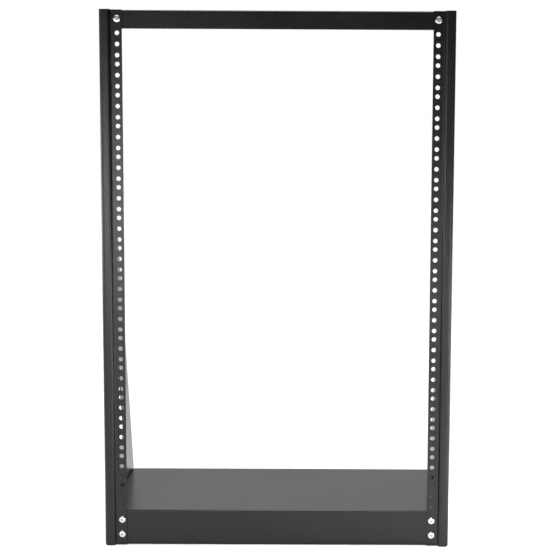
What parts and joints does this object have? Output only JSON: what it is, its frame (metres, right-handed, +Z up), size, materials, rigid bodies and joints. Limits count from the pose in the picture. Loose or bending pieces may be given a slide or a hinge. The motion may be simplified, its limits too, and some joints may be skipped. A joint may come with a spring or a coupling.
{
  "type": "two post open frame rack",
  "caption": "Open equipment rack of folded black steel: two drilled posts that widen rearward to the base, a top bar and a low tray between them.",
  "frame": {"origin": "on the floor, in the middle of the footprint", "axes": "+Z up, +Y to the rear, +X to the right seen from the front"},
  "size_m": [0.5224, 0.3, 0.791],
  "materials": {
    "black_coat": "fine-textured black powder coat",
    "zinc": "bright zinc-plated steel"
  },
  "bodies": {
    "root": {"side_panel_left": "black_coat", "side_panel_right": "black_coat", "top_bar": "black_coat", "base_tray": "black_coat", "top_screw_left": "zinc", "top_screw_right": "zinc", "base_screw_left_upper": "zinc", "base_screw_left_lower": "zinc", "base_screw_right_upper": "zinc", "base_screw_right_lower": "zinc", "rear_screw_left_upper": "zinc", "rear_screw_left_lower": "zinc", "rear_screw_right_upper": "zinc", "rear_screw_right_lower": "zinc", "top_nut_left": "zinc", "top_nut_right": "zinc", "base_nut_left_upper": "zinc", "base_nut_left_lower": "zinc", "base_nut_right_upper": "zinc", "base_nut_right_lower": "zinc", "rear_nut_left_upper": "zinc", "rear_nut_left_lower": "zinc", "rear_nut_right_upper": "zinc", "rear_nut_right_lower": "zinc"}
  },
  "joints": []
}
